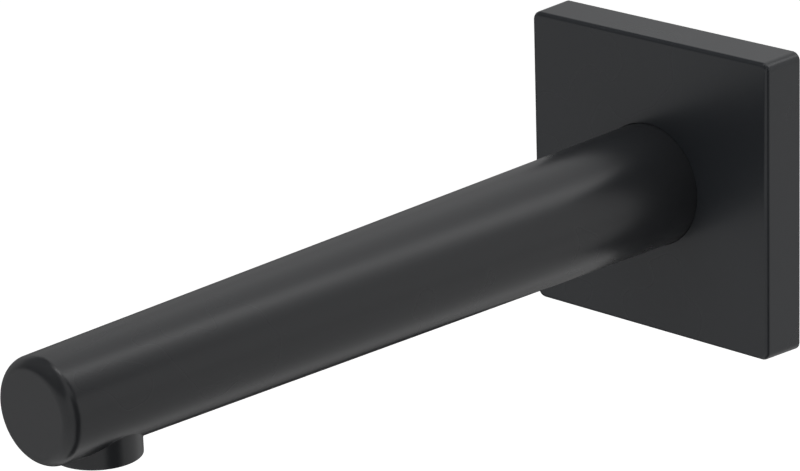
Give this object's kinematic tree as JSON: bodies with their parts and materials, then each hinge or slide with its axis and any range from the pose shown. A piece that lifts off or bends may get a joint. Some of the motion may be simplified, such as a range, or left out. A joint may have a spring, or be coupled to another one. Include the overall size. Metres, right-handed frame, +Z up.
{
  "type": "bath spout",
  "caption": "Wall-mounted bath spout: a tapered round arm on a square cover plate, with a slim aerated outlet under its tip.",
  "frame": {"origin": "on the arm's axis, in the plane of the finished wall", "axes": "+Z up, +Y into the wall along the arm's axis, +X to the right for someone facing the wall"},
  "size_m": [0.07, 0.21, 0.07],
  "materials": {
    "black_coated_brass": "satin-matt black powder coat over cast brass",
    "black_coated_plate": "satin-matt black powder coat over die-cast metal",
    "seal_foam": "closed-cell foam",
    "seal_rubber": "moulded rubber",
    "machined_brass": "turned brass",
    "stainless_steel": "bright stainless steel",
    "aerator_shell_plastic": "moulded black plastic",
    "aerator_core_plastic": "moulded white plastic",
    "aerator_grid_plastic": "moulded grey plastic"
  },
  "bodies": {
    "root": {"spout_arm": "black_coated_brass", "escutcheon": "black_coated_plate", "wall_seal": "seal_foam", "escutcheon_o_ring": "seal_rubber", "connection_nipple": "machined_brass", "nipple_o_ring_front": "seal_rubber", "nipple_o_ring_rear": "seal_rubber", "grub_screw": "stainless_steel", "aerator_housing": "aerator_shell_plastic", "aerator_seal": "seal_rubber", "aerator_dome_screen": "aerator_core_plastic", "aerator_jet_plate": "aerator_core_plastic", "aerator_mesh_screen": "stainless_steel", "aerator_outlet_grid": "aerator_grid_plastic"}
  },
  "joints": []
}
